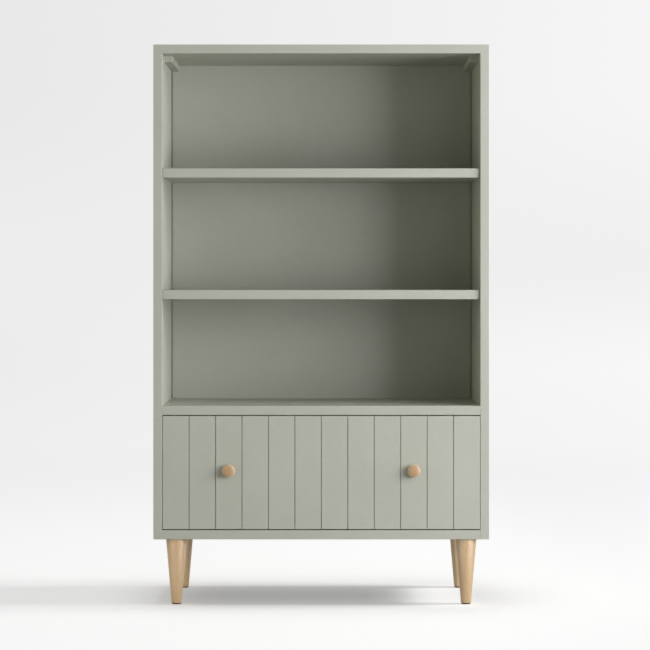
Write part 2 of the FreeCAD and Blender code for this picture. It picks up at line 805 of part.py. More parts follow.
def make_leg(label, x, y):
    """A straight round taper, bored for its bolt above and its glide below."""
    body = new_body(label)
    foot = "leg_foot_diameter / 2"
    revolve(body, [
        ("0", "0"),
        (f"{foot} - leg_foot_radius", "0"),
        (foot, "leg_foot_radius"),
        ("leg_top_diameter / 2", "leg_length"),
        ("0", "leg_length"),
    ])
    drill(body, "Z", "leg_length", -1, [("0", "0")],
          "leg_bolt_diameter", "leg_bolt_leg_length + leg_bolt_end_gap")
    drill(body, "Z", "0", 1, [("0", "0")], "glide_spigot_diameter", "glide_spigot_length")
    body.setExpression("Placement.Base.x", formula(x))
    body.setExpression("Placement.Base.y", formula(f"front_plane + {y}"))
    body.setExpression("Placement.Base.z", formula("glide_thickness"))


def make_leg_fittings():
    bolt = new_body("leg_bolt")
    reach = "leg_bolt_diameter / 2"
    revolve(bolt, [
        ("0", "leg_bolt_case_length"),
        (reach, "leg_bolt_case_length"),
        (reach, "leg_bolt_diameter / 2 - leg_bolt_leg_length"),
        ("0", "-leg_bolt_leg_length"),
    ])
    insert = new_body("leg_insert")
    bore = "(leg_bolt_diameter / 2 + fit_clearance)"
    barrel = "insert_diameter / 2"
    flange = "insert_flange_diameter / 2"
    revolve(insert, [
        (bore, "0"),
        (flange, "0"),
        (flange, "insert_flange_thickness"),
        (barrel, "insert_flange_thickness"),
        (barrel, "insert_length"),
        (bore, "insert_length"),
    ])
    glide = new_body("leg_glide")
    pad_radius = "glide_diameter / 2"
    spigot = "glide_spigot_diameter / 2"
    revolve(glide, [
        ("0", "0"),
        (pad_radius, "0"),
        (pad_radius, "glide_thickness"),
        (spigot, "glide_thickness"),
        (spigot, "glide_thickness + glide_spigot_length - fit_clearance"),
        ("0", "glide_thickness + glide_spigot_length - fit_clearance"),
    ])
    group("leg_bolts", bolt, [((x, y, "case_bottom"), DOWN) for x, y in leg_places()])
    group("leg_inserts", insert, [((x, y, "case_bottom"), DOWN) for x, y in leg_places()])
    group("leg_glides", glide, [((x, y, "0"), DOWN) for x, y in leg_places()])


# The drawer's front and box

def front_screw_places():
    x = "(box_inner_half_width - front_screw_side_inset)"
    return [(f"{side} * {x}", z) for side in SIDES.values()
            for z in ("box_bottom + front_screw_end_inset", "box_top - front_screw_end_inset")]


def knob_places():
    return [(f"{side} * knob_x", "knob_z") for side in SIDES.values()]


def make_drawer_front():
    """One board whose face is cut into planks by upright grooves."""
    body = board("drawer_front", "-front_half_width", "front_half_width", "0", "front_thickness",
                 "front_bottom", "front_top")
    ease(body, "edge_radius", lambda x, y, z: y == 0)
    groove = new_sketch(body, "Z", "front_bottom - overrun")
    first = "(plank_pitch - front_half_width)"
    rectangle(groove, f"{first} - groove_width / 2", "-overrun",
              f"{first} + groove_width / 2", "groove_depth")
    cut = pocket(body, "Z", groove, "front_top - front_bottom + 2 * overrun", 1)
    row = body.newObject("PartDesign::LinearPattern", "drawer_front_grooves")
    row.Originals = [cut]
    row.Direction = (groove, ["H_Axis"])
    row.setExpression("Length", formula("(plank_count - 2) * plank_pitch"))
    row.setExpression("Occurrences", formula("plank_count - 1"))
    body.Tip = row
    document.recompute()
    drill(body, "Y", "front_thickness", -1, knob_places(), "knob_screw_diameter", "front_thickness")
    drill(body, "Y", "front_thickness", -1, front_screw_places(),
          "front_screw_diameter", "front_screw_length - box_end_thickness + fit_clearance")


def cut_floor_groove(body, left, front, right, rear):
    groove = new_sketch(body, "Z", "floor_bottom - box_bottom_clearance / 2")
    rectangle(groove, left, front, right, rear)
    pocket(body, "Z", groove, "box_bottom_thickness + box_bottom_clearance", 1)


def box_screw_pair(front):
    """Two screws through a box side into the end board that starts at a front."""
    return [(f"{front} + box_end_thickness / 2", z)
            for z in ("box_bottom + box_screw_corner_inset", "box_top - box_screw_corner_inset")]


def box_screw_places():
    return box_screw_pair("front_thickness") + box_screw_pair("box_back_front")


def make_box_end(label, front, groove_front, groove_rear):
    body = board(label, "-box_inner_half_width", "box_inner_half_width",
                 front, f"{front} + box_end_thickness", "box_bottom", "box_top")
    ease(body, "box_edge_radius", lambda x, y, z: z == 1 and x == 0.5)
    reach = "(box_inner_half_width + overrun)"
    cut_floor_groove(body, f"-{reach}", groove_front, reach, groove_rear)
    for side in SIDES.values():
        drill(body, "X", f"{side} * box_inner_half_width", -side, box_screw_pair(front),
              "box_screw_diameter", "box_screw_length - box_side_thickness + fit_clearance")
    return body


def make_drawer_box():
    inner_front = make_box_end("drawer_inner_front", "front_thickness",
                               "inner_front_rear - box_bottom_lap", "inner_front_rear + overrun")
    drill(inner_front, "Y", "inner_front_rear", -1, knob_places(),
          "knob_screw_diameter", "box_end_thickness")
    drill(inner_front, "Y", "inner_front_rear", -1, front_screw_places(),
          "front_screw_diameter", "box_end_thickness")
    countersink(inner_front, "Y", "inner_front_rear", -1, front_screw_places(),
                "front_screw_head_diameter", "front_screw_diameter")
    make_box_end("drawer_back", "box_back_front",
                 "box_back_front - overrun", "box_back_front + box_bottom_lap")
    for name, side in SIDES.items():
        make_box_side(name, side)
    reach = "(box_inner_half_width + box_bottom_lap - box_bottom_clearance)"
    board("drawer_bottom", f"-{reach}", reach,
          "inner_front_rear - box_bottom_lap + box_bottom_clearance",
          "box_back_front + box_bottom_lap - box_bottom_clearance", "floor_bottom", "floor_top")


def make_box_side(name, side):
    outer = f"{side} * box_half_width"
    body = board(f"drawer_{name}_side", f"{side} * box_inner_half_width", outer,
                 "front_thickness", "box_rear", "box_bottom", "box_top")
    ease(body, "box_edge_radius", lambda x, y, z: z == 1 and y == 0.5)
    cut_floor_groove(body, f"{side} * (box_inner_half_width - overrun)", "front_thickness - overrun",
                     f"{side} * (box_inner_half_width + box_bottom_lap)", "box_rear + overrun")
    drill(body, "X", outer, -side, box_screw_places(), "box_screw_diameter", "box_side_thickness")
    countersink(body, "X", outer, -side, box_screw_places(),
                "box_screw_head_diameter", "box_screw_diameter")
    drill(body, "X", outer, -side, rail_screw_places(),
          "rail_screw_diameter", "rail_screw_length - rail_thickness + fit_clearance")


def make_box_screws():
    box_screw = screw_master("box_screw", "box_screw_diameter",
                             "box_screw_head_diameter", "box_screw_length")
    group("drawer_box_screws", box_screw,
          [((f"{side} * box_half_width", y, z), inward(side))
           for side in SIDES.values() for y, z in box_screw_places()])
    front_screw = screw_master("front_screw", "front_screw_diameter",
                               "front_screw_head_diameter", "front_screw_length")
    group("drawer_front_screws", front_screw,
          [((x, "inner_front_rear", z), FORWARD) for x, z in front_screw_places()])


# Knobs

def make_knob(label, x):
    """A turned mushroom: a stem, a round-backed head and a softly rounded face."""
    body = new_body(label)
    stem = "knob_stem_diameter / 2"
    head = "knob_diameter / 2"
    revolve(body, [
        ("0", "0"),
        (stem, "0"),
        (stem, "knob_stem_length"),
        (head, "knob_stem_length"),
        (head, "knob_projection"),
        ("0", "knob_projection"),
    ])
    round_circle(body, "knob_projection", head, "knob_rim_radius")
    round_circle(body, "knob_stem_length", head, "knob_back_radius")
    drill(body, "Z", "0", 1, [("0", "0")],
          "knob_screw_diameter", "knob_screw_reach + knob_screw_end_gap")
    body.Placement = Placement(Vector(), Rotation(UP, FORWARD))
    body.setExpression("Placement.Base.x", formula(x))
    body.setExpression("Placement.Base.y", formula("front_plane"))
    body.setExpression("Placement.Base.z", formula("knob_z"))


def round_circle(body, level, radius, rounding):
    """Rounds the circular edge that a turned piece has at a height."""
    document.recompute()
    base = body.Tip
    names = []
    for number, edge in enumerate(base.Shape.Edges, start=1):
        circular = edge.Curve.TypeId == "Part::GeomCircle"
        at_level = abs(edge.BoundBox.Center.z - value(level)) < value("fit_clearance")
        if circular and at_level and abs(edge.Curve.Radius - value(radius)) < value("fit_clearance"):
            names.append(f"Edge{number}")
    feature = body.newObject("PartDesign::Fillet", f"{body.Label}_rounding")
    feature.Base = (base, names)
    feature.setExpression("Radius", formula(rounding))


def make_knob_screws():
    """Pan-headed screws through both boards from inside the drawer."""
    master = new_body("knob_screw")
    shank = "knob_screw_diameter / 2"
    tip = "-(inner_front_rear + knob_screw_reach)"
    revolve(master, [
        ("0", "knob_screw_head_height"),
        ("knob_screw_head_diameter / 3", "knob_screw_head_height"),
        ("knob_screw_head_diameter / 2", "knob_screw_head_height / 2"),
        ("knob_screw_head_diameter / 2", "0"),
        (shank, "0"),
        (shank, tip),
        ("0", tip),
    ])
    cross_recess(master, "knob_screw_head_height", "knob_screw_head_diameter / 4",
                 "knob_screw_head_height / 2")
    group("knob_screws", master, [((x, "inner_front_rear", z), FORWARD) for x, z in knob_places()])


# Drawer rails, their ball cages and their balls

def rail_screw_places():
    return [("rail_front + rail_screw_end_inset", "rail_z"), ("rail_middle", "rail_z"),
            ("rail_front + rail_length - rail_screw_end_inset", "rail_z")]


def from_side(side, reach):
    """A place across the rails, measured inwards from the case's side."""
    return f"{side} * (inner_half_width - ({reach}))"


def make_channel(label, side, web, web_thickness, lip, half_height, front, length):
    """A channel whose web lies at one reach from the case's side and whose lips end at another."""
    body = new_piece(label)
    sketch = new_sketch(body, "Y", front)
    away = "-" if value(lip) < value(web) else "+"
    web_x = from_side(side, web)
    inner_x = from_side(side, f"{web} {away} {web_thickness}")
    lip_x = from_side(side, lip)
    high = f"rail_z + {half_height}"
    low = f"rail_z - {half_height}"
    polygon(sketch, [
        (web_x, low),
        (lip_x, low),
        (lip_x, f"{low} + {web_thickness}"),
        (inner_x, f"{low} + {web_thickness}"),
        (inner_x, f"{high} - {web_thickness}"),
        (lip_x, f"{high} - {web_thickness}"),
        (lip_x, high),
        (web_x, high),
    ])
    pad(body, "Y", sketch, length)
    return body


def cut_races(body, side, ball_x, row):
    """The grooves that the balls of one row run in, above and below."""
    sketch = new_sketch(body, "Y", "rail_front - overrun")
    x = from_side(side, ball_x)
    circles(sketch, [(x, f"rail_z + {row}"), (x, f"rail_z - {row}")],
            "ball_diameter + 2 * ball_clearance")
    pocket(body, "Y", sketch, "rail_length + 2 * overrun", 1)


def make_rails(name, side):
    cabinet = make_channel(f"{name}_cabinet_rail", side, "0", "rail_thickness", "cabinet_lip",
                           "cabinet_half", "rail_front", "rail_length")
    cut_races(cabinet, side, "outer_ball_x", "outer_row")
    cut_rail_screws(cabinet, from_side(side, "rail_thickness"), side)
    middle = make_channel(f"{name}_middle_rail", side, "middle_web", "rail_thickness", "middle_lip",
                          "middle_half", "rail_front", "rail_length")
    cut_races(middle, side, "outer_ball_x", "outer_row")
    cut_races(middle, side, "inner_ball_x", "inner_row")
    drawer = make_channel(f"{name}_drawer_rail", side, "rail_space", "rail_thickness",
                          "drawer_rail_lip", "drawer_rail_half", "rail_front", "rail_length")
    cut_races(drawer, side, "inner_ball_x", "inner_row")
    cut_rail_screws(drawer, from_side(side, "rail_space - rail_thickness"), -side)


def cut_rail_screws(body, level, toward):
    drill(body, "X", level, toward, rail_screw_places(), "rail_screw_diameter", "rail_thickness")
    countersink(body, "X", level, toward, rail_screw_places(),
                "(rail_screw_diameter + 2 * rail_thickness)", "rail_screw_diameter")


def make_rail_screws():
    master = screw_master("rail_screw", "rail_screw_diameter",
                          "(rail_screw_diameter + 2 * rail_thickness)", "rail_screw_length")
    group("cabinet_rail_screws", master,
          [((from_side(side, "rail_thickness"), y, z), outward(side))
           for side in SIDES.values() for y, z in rail_screw_places()])
    group("drawer_rail_screws", master,
          [((from_side(side, "rail_space - rail_thickness"), y, z), inward(side))
           for side in SIDES.values() for y, z in rail_screw_places()])


def ball_stations():
    """Places of the balls along a cage."""
    pitch = f"(cage_length - 2 * ball_end_inset) / {BALLS_IN_ROW - 1}"
    return [f"cage_front + ball_end_inset + {number} * {pitch}" for number in range(BALLS_IN_ROW)]


def make_cage(label, side, web, ball_x, row):
    """A thin channel between two rails, with a hole for each ball."""
    body = make_channel(label, side, web, "cage_thickness", f"{ball_x} + ball_radius + cage_lip",
                        f"({row} + cage_thickness / 2)", "cage_front", "cage_length")
    for direction in (-1, 1):
        centres = [(from_side(side, ball_x), station) for station in ball_stations()]
        sketch = new_sketch(body, "Z", f"rail_z + {direction} * ({row} + cage_thickness)")
        circles(sketch, centres, "ball_diameter + 2 * cage_hole_clearance")
        pocket(body, "Z", sketch, "2 * cage_thickness", -direction)


def make_balls(label, side, master, ball_x, row):
    stands = [((from_side(side, ball_x), station, f"rail_z + {direction} * {row}"), DOWN)
              for direction in (-1, 1) for station in ball_stations()]
    group(label, master, stands)


def make_ball_sets():
    ball = document.addObject("Part::Sphere", "ball")
    ball.setExpression("Radius", formula("ball_radius"))
    half_gap = "rail_web_gap / 2 - cage_thickness / 2"
    sets = {
        "outer": (f"rail_thickness + {half_gap}", "outer_ball_x", "outer_row"),
        "inner": (f"middle_web + rail_thickness + {half_gap}", "inner_ball_x", "inner_row"),
    }
    for name, side in SIDES.items():
        for place, (web, ball_x, row) in sets.items():
            make_cage(f"{name}_{place}_ball_cage", side, web, ball_x, row)
            make_balls(f"{name}_{place}_balls", side, ball, ball_x, row)


# The whole bookcase

def make_pieces():
    make_top_panel()
    for name, side in SIDES.items():
        make_side_panel(name, side)
        make_cleat(name, side)
        make_rails(name, side)
        make_knob(f"{name}_knob", f"{side} * knob_x")
        make_leg(f"front_{name}_leg", f"{side} * leg_x", "leg_end_inset")
        make_leg(f"rear_{name}_leg", f"{side} * leg_x", "leg_rear")
    make_bottom_panel()
    make_drawer_deck()
    pin = make_pin_master()
    for name in ("lower", "upper"):
        make_shelf(f"{name}_shelf", f"{name}_shelf_bottom")
        make_shelf_pins(f"{name}_shelf_pins", pin, f"{name}_shelf_bottom")
    make_back_panel()
    make_cleat_screws()
    make_dowels()
    make_cam_bolts()
    make_cam_locks()
    make_leg_fittings()
    make_drawer_front()
    make_drawer_box()
    make_box_screws()
    make_knob_screws()
    make_rail_screws()
    make_ball_sets()


MASTERS = {"back_screw", "cleat_screw", "dowel", "cam_bolt", "cam_lock", "shelf_pin", "leg_bolt",
           "leg_insert", "leg_glide", "box_screw", "front_screw", "knob_screw", "rail_screw"}


def sub_parts():
    kinds = ("PartDesign::Body", "Part::Compound")
    return [item for item in document.Objects if item.TypeId in kinds and item.Label not in MASTERS]


def check_model():
    for item in document.Objects:
        if "Invalid" in item.State or "Error" in item.State:
            raise RuntimeError(f"{item.Label} failed: {item.State}")
        if item.TypeId == "PartDesign::Pocket":
            removed = item.BaseFeature.Shape.Volume - item.Shape.Volume
            if removed <= 0:
                raise RuntimeError(f"{item.Label} cuts nothing")
    for item in sub_parts():
        if item.Shape.isNull() or not item.Shape.isValid():
            raise RuntimeError(f"{item.Label} has no valid shape")


def write_parts():
    os.makedirs("parts", exist_ok=True)
    for item in sub_parts():
        item.Shape.exportStep(f"parts/{item.Label}.step")
        box = item.Shape.BoundBox
        print(f"{item.Label}: {len(item.Shape.Solids)} solids, {item.Shape.Volume:.1f} mm3, "
              f"x {box.XMin:.2f} {box.XMax:.2f} y {box.YMin:.2f} {box.YMax:.2f} "
              f"z {box.ZMin:.2f} {box.ZMax:.2f}")


make_pieces()
document.recompute()
check_model()
write_parts()
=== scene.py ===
import json
import math

import bmesh
import bpy
from mathutils import Matrix, Vector


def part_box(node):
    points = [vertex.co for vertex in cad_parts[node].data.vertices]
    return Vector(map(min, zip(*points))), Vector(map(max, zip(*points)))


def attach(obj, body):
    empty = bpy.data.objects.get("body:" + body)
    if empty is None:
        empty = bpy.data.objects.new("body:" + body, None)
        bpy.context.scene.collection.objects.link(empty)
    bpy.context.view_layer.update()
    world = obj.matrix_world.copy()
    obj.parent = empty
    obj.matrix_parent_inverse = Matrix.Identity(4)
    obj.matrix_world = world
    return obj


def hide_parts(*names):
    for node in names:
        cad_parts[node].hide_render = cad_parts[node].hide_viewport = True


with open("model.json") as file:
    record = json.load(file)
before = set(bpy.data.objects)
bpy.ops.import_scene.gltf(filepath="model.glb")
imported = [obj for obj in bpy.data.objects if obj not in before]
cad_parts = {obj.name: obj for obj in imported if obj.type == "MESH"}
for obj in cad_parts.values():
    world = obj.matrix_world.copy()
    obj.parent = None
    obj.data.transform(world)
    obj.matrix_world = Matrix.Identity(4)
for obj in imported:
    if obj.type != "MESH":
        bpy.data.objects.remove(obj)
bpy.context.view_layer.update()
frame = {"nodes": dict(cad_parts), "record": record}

# A painted bookcase with a grooved drawer front, turned legs and turned knobs.
# Everything is in metres: the front faces -Y, +X is to the right and the floor is at zero.

MM = 0.001


# Node trees

class Tree:
    """A material's or the world's nodes, with short calls for adding and linking them."""

    def __init__(self, owner):
        owner.use_nodes = True
        self.nodes = owner.node_tree.nodes
        self.links = owner.node_tree.links
        self.nodes.clear()

    def add(self, kind, inputs=None, **settings):
        """A node. Each input is given by name or number, as a value or as another node's output."""
        node = self.nodes.new(kind)
        for name, setting in settings.items():
            setattr(node, name, setting)
        for key, item in (inputs or {}).items():
            if isinstance(item, bpy.types.NodeSocket):
                self.links.new(item, node.inputs[key])
            else:
                node.inputs[key].default_value = item
        return node

    def position(self, scale):
        """The object's own coordinates, stretched along each axis."""
        place = self.add("ShaderNodeTexCoord").outputs["Object"]
        return self.add("ShaderNodeMapping", {"Vector": place, "Scale": scale}).outputs[0]

    def noise(self, scale, detail=3.0, roughness=0.5, stretch=(1, 1, 1), distortion=0.0):
        """Noise from 0 to 1, with scale in features a metre."""
        return self.add("ShaderNodeTexNoise", {
            "Vector": self.position(stretch), "Scale": scale, "Detail": detail,
            "Roughness": roughness, "Distortion": distortion}).outputs[0]

    def ramp(self, value, low, high, start=0.0, end=1.0):
        """Takes low..high to start..end smoothly, and holds there."""
        return self.add("ShaderNodeMapRange", {
            "Value": value, "From Min": low, "From Max": high, "To Min": start, "To Max": end},
            interpolation_type="SMOOTHSTEP").outputs[0]

    def line(self, value, low, high, start, end):
        """Takes low..high to start..end in a straight line, and holds there."""
        return self.add("ShaderNodeMapRange", {
            "Value": value, "From Min": low, "From Max": high, "To Min": start, "To Max": end}).outputs[0]

    def math(self, operation, *values):
        """One sum, with values or other nodes' outputs as its terms."""
        return self.add("ShaderNodeMath", dict(enumerate(values)), operation=operation).outputs[0]

    def blend(self, first, second, share):
        """Two values added up, the first by its share and the second by the rest."""
        return self.math("ADD", self.math("MULTIPLY", first, share), self.math("MULTIPLY", second, 1 - share))

    def mix_at(self, factor, first, second):
        """A colour between two."""
        return self.add("ShaderNodeMix", {0: factor, 6: first, 7: second}, data_type="RGBA").outputs[2]

    def bump(self, height, distance):
        """A surface normal tilted by a height from 0 to 1, which stands for a distance in metres."""
        return self.add("ShaderNodeBump", {"Height": height, "Distance": distance}).outputs[0]

    def facing(self, axis):
        """How squarely the surface faces along an axis, either way, from 0 to 1."""
        normal = self.add("ShaderNodeNewGeometry").outputs["Normal"]
        return self.math("ABSOLUTE", self.add("ShaderNodeSeparateXYZ", {0: normal}).outputs[axis])

    def edges(self, reach):
        """1 on the edges of a piece, 0 a reach away from them."""
        soft = self.add("ShaderNodeBevel", {"Radius": reach}, samples=4).outputs[0]
        plain = self.add("ShaderNodeNewGeometry").outputs["Normal"]
        match = self.add("ShaderNodeVectorMath", {0: soft, 1: plain}, operation="DOT_PRODUCT")
        return self.line(match.outputs["Value"], 1.0, 0.9, 0.0, 1.0)

    def finish(self, shader):
        """Makes a shader the surface of the material."""
        self.add("ShaderNodeOutputMaterial", {"Surface": shader})


def rgb(red, green, blue):
    """An opaque colour in linear light."""
    return (red, green, blue, 1.0)


def drawn_out(axis, share):
    """A stretch that draws a pattern out along an axis, to 1 / share of its length."""
    stretch = [1.0, 1.0, 1.0]
    stretch["XYZ".index(axis)] = share
    return stretch


# Materials

def paint_material():
    """Satin sage paint on board, sprayed, with a faint orange peel and slightly rubbed edges."""
    material = bpy.data.materials.new("sage_paint_satin")
    tree = Tree(material)
    cloud = tree.noise(5.0, detail=4.0)
    mottle = tree.noise(60.0, detail=3.0)
    tone = tree.blend(cloud, mottle, 0.65)
    colour = tree.mix_at(tree.ramp(tone, 0.3, 0.7), rgb(0.420, 0.432, 0.368), rgb(0.448, 0.459, 0.396))
    rubbed = tree.math("MULTIPLY", tree.edges(1.6 * MM), tree.ramp(tree.noise(90.0), 0.42, 0.62))
    colour = tree.mix_at(tree.math("MULTIPLY", rubbed, 0.35), colour, rgb(0.52, 0.53, 0.47))
    peel = tree.noise(900.0, detail=2.0)
    fibre = tree.noise(160.0, detail=3.0, stretch=drawn_out("Z", 0.35))
    height = tree.blend(peel, fibre, 0.6)
    rough = tree.math("SUBTRACT", tree.line(mottle, 0.3, 0.7, 0.43, 0.53), tree.math("MULTIPLY", rubbed, 0.10))
    shader = tree.add("ShaderNodeBsdfPrincipled", {
        "Base Color": colour, "Roughness": rough, "IOR": 1.46, "Normal": tree.bump(height, 0.05 * MM)})
    tree.finish(shader.outputs[0])
    return material


def beech_material(name, along, tints, coat):
    """Pale steamed beech with growth bands, short dark flecks and darker end grain, under a satin lacquer. On
    the knobs the darker end grain is partly painted shade.
    """
    material = bpy.data.materials.new(name)
    tree = Tree(material)
    light, dark, spot, end = tints
    grain = drawn_out(along, 0.045)
    streaks = tree.noise(420.0, detail=4.0, roughness=0.6, stretch=grain)
    bands = tree.noise(42.0, detail=3.0, stretch=grain, distortion=0.4)
    flecks = tree.ramp(tree.noise(620.0, detail=1.0, stretch=drawn_out(along, 0.11)), 0.66, 0.74)
    tone = tree.blend(streaks, bands, 0.45)
    colour = tree.mix_at(tree.ramp(tone, 0.33, 0.67), dark, light)
    colour = tree.mix_at(tree.math("MULTIPLY", flecks, 0.35), colour, spot)
    # Faces along the grain take the end tint: darker end grain, and on the knobs' front faces also painted
    # shade.
    colour = tree.mix_at(tree.ramp(tree.facing(along), 0.55, 0.97, 0.0, 0.85), colour, end)
    colour = tree.mix_at(tree.math("MULTIPLY", tree.edges(1.5 * MM), 0.25), colour, light)
    height = tree.math("SUBTRACT", streaks, tree.math("MULTIPLY", flecks, 0.5))
    shader = tree.add("ShaderNodeBsdfPrincipled", {
        "Base Color": colour, "Roughness": tree.line(streaks, 0.3, 0.7, 0.50, 0.38),
        "Normal": tree.bump(height, 0.06 * MM), "Coat Weight": coat, "Coat Roughness": 0.3})
    tree.finish(shader.outputs[0])
    return material


def birch_material(name, across, along):
    """Birch plywood: faces with long grain, and layered plies where the board is cut through."""
    ply_thickness = 3.0 * MM
    material = bpy.data.materials.new(name)
    tree = Tree(material)
    grain = drawn_out(along, 0.05)
    streaks = tree.noise(260.0, detail=4.0, roughness=0.6, stretch=grain)
    bands = tree.noise(20.0, detail=2.0, stretch=grain, distortion=0.6)
    tone = tree.blend(streaks, bands, 0.4)
    face = tree.mix_at(tree.ramp(tone, 0.35, 0.66), rgb(0.56, 0.40, 0.235), rgb(0.70, 0.545, 0.36))
    place = tree.add("ShaderNodeSeparateXYZ", {0: tree.position((1, 1, 1))}).outputs[across]
    ply = tree.math("FRACT", tree.math("MULTIPLY", place, 1.0 / ply_thickness))
    dark = tree.ramp(tree.math("ABSOLUTE", tree.math("SUBTRACT", ply, 0.5)), 0.17, 0.28)
    cut = tree.mix_at(dark, rgb(0.64, 0.48, 0.30), rgb(0.36, 0.225, 0.115))
    colour = tree.mix_at(tree.ramp(tree.facing(across), 0.5, 0.8), cut, face)
    shader = tree.add("ShaderNodeBsdfPrincipled", {
        "Base Color": colour, "Roughness": tree.line(streaks, 0.3, 0.7, 0.55, 0.42),
        "Normal": tree.bump(streaks, 0.05 * MM)})
    tree.finish(shader.outputs[0])
    return material


def metal_material(name, colour, roughness, spread, scale, stretch):
    """Plated or polished steel with faint streaks or spangle."""
    material = bpy.data.materials.new(name)
    tree = Tree(material)
    grain = tree.noise(scale, detail=3.0, stretch=stretch)
    patch = tree.noise(90.0, detail=2.0)
    dull = rgb(*(0.86 * part for part in colour[:3]))
    tone = tree.mix_at(tree.ramp(patch, 0.35, 0.7), dull, colour)
    shader = tree.add("ShaderNodeBsdfPrincipled", {
        "Base Color": tone, "Roughness": tree.line(grain, 0.3, 0.7, roughness - spread, roughness + spread),
        "Normal": tree.bump(grain, 0.01 * MM), "Metallic": 1.0})
    tree.finish(shader.outputs[0])
    return material


def felt_material():
    """The dark pressed felt under each leg."""
    material = bpy.data.materials.new("glide_felt")
    tree = Tree(material)
    fuzz = tree.noise(2400.0, detail=4.0, roughness=0.7)
    clump = tree.noise(400.0)
    colour = tree.mix_at(tree.ramp(clump, 0.3, 0.7), rgb(0.045, 0.033, 0.026), rgb(0.085, 0.066, 0.052))
    shader = tree.add("ShaderNodeBsdfPrincipled", {
        "Base Color": colour, "Roughness": tree.line(fuzz, 0.3, 0.7, 0.85, 1.0),
        "Normal": tree.bump(fuzz, 0.25 * MM), "Specular IOR Level": 0.2, "Sheen Weight": 0.3})
    tree.finish(shader.outputs[0])
    return material


# The light, dark, fleck and end grain tints of the beech. The knobs' end tint is partly painted shade, which
# darkens their front faces against their paler sides.
BEECH_TINTS = (rgb(0.705, 0.510, 0.300), rgb(0.595, 0.400, 0.213),
               rgb(0.36, 0.20, 0.090), rgb(0.52, 0.34, 0.18))
KNOB_TINTS_WITH_SHADED_FACE = (rgb(0.735, 0.572, 0.378), rgb(0.655, 0.485, 0.292),
              rgb(0.34, 0.18, 0.08), rgb(0.455, 0.275, 0.135))
THIN_COAT, KNOB_COAT = 0.12, 0.15
knob_beech = beech_material("knob_beech", "Y", KNOB_TINTS_WITH_SHADED_FACE, KNOB_COAT)
finishes = {
    "sage_paint": paint_material(),
    "pale_beech": beech_material("beech_upright_grain", "Z", BEECH_TINTS, THIN_COAT),
    "dowel_beech": beech_material("dowel_beech_bare", "X", BEECH_TINTS, THIN_COAT),
    "zinc_steel": metal_material("zinc_plate", rgb(0.62, 0.63, 0.62), 0.34, 0.06, 700.0, drawn_out("Y", 0.05)),
    "polished_steel": metal_material("ball_steel", rgb(0.74, 0.74, 0.75), 0.10, 0.03, 500.0, (1, 1, 1)),
    "pressed_steel": metal_material("pressed_strip", rgb(0.55, 0.56, 0.57), 0.40, 0.06, 600.0,
                                    drawn_out("Y", 0.1)),
    "glide_pad": felt_material(),
}
box_finishes = {
    "drawer_left_side": birch_material("birch_side", "X", "Y"),
    "drawer_inner_front": birch_material("birch_end", "Y", "X"),
    "drawer_bottom": birch_material("birch_floor", "Z", "X"),
}
box_finishes["drawer_right_side"] = box_finishes["drawer_left_side"]
box_finishes["drawer_back"] = box_finishes["drawer_inner_front"]

slot_of = {part["node"]: part["material_slot"] for part in frame["record"]["subparts"]}
for name, node in frame["nodes"].items():
    node.data.materials.clear()
    node.data.materials.append(box_finishes.get(name) or finishes[slot_of[name]])


# Pieces made here

TURNED_SEGMENTS = 96
HARD_EDGE_ANGLE = math.radians(35)
ON_AXIS = 1e-6


def add_piece(name, mesh, material, body, node):
    """Puts a mesh in the scene in place of a CAD node."""
    piece = bpy.data.objects.new(name, mesh)
    bpy.context.scene.collection.objects.link(piece)
    piece.data.materials.append(material)
    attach(piece, body)
    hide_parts(node)
    return piece


def to_mesh(name, shape):
    """A mesh with smooth shading, and with hard lines where faces meet at a clear angle."""
    for face in shape.faces:
        face.smooth = True
    for edge in shape.edges:
        edge.smooth = len(edge.link_faces) == 2 and edge.calc_face_angle() < HARD_EDGE_ANGLE
    mesh = bpy.data.meshes.new(name)
    shape.to_mesh(mesh)
    shape.free()
    return mesh


def soften(corners, steps):
    """An outline whose corners (x, y, radius) are rounded with arcs. Radius 0 keeps a corner sharp."""
    points = []
    for index, (x, y, radius) in enumerate(corners):
        here = Vector((x, y))
        if radius == 0:
            points.append(here)
            continue
        before = (Vector(corners[index - 1][:2]) - here).normalized()
        after = (Vector(corners[(index + 1) % len(corners)][:2]) - here).normalized()
        half_angle = before.angle(after) / 2
        reach = radius / math.tan(half_angle)
        centre = here + (before + after).normalized() * (radius / math.sin(half_angle))
        first = here + before * reach - centre
        last = here + after * reach - centre
        turn = first.angle_signed(last)
        for step in range(steps + 1):
            arm = first.copy()
            arm.rotate(Matrix.Rotation(-turn * step / steps, 2))
            points.append(centre + arm)
    return points


def lathe(name, corners):
    """Turns an outline of (radius, height, rounding) about the Z axis. The first and last lie on the axis."""
    shape = bmesh.new()
    rings = []
    for point in soften(corners, 6):
        if point.x < ON_AXIS:
            rings.append([shape.verts.new((0, 0, point.y))])
            continue
        ring = []
        for step in range(TURNED_SEGMENTS):
            angle = math.tau * step / TURNED_SEGMENTS
            ring.append(shape.verts.new((point.x * math.cos(angle), point.x * math.sin(angle), point.y)))
        rings.append(ring)
    for lower, upper in zip(rings, rings[1:]):
        for step in range(TURNED_SEGMENTS):
            ahead = (step + 1) % TURNED_SEGMENTS
            quad = [lower[step % len(lower)], lower[ahead % len(lower)],
                    upper[ahead % len(upper)], upper[step % len(upper)]]
            corners_once = list(dict.fromkeys(quad))
            if len(corners_once) > 2:
                shape.faces.new(corners_once)
    bmesh.ops.recalc_face_normals(shape, faces=shape.faces)
    return to_mesh(name, shape)


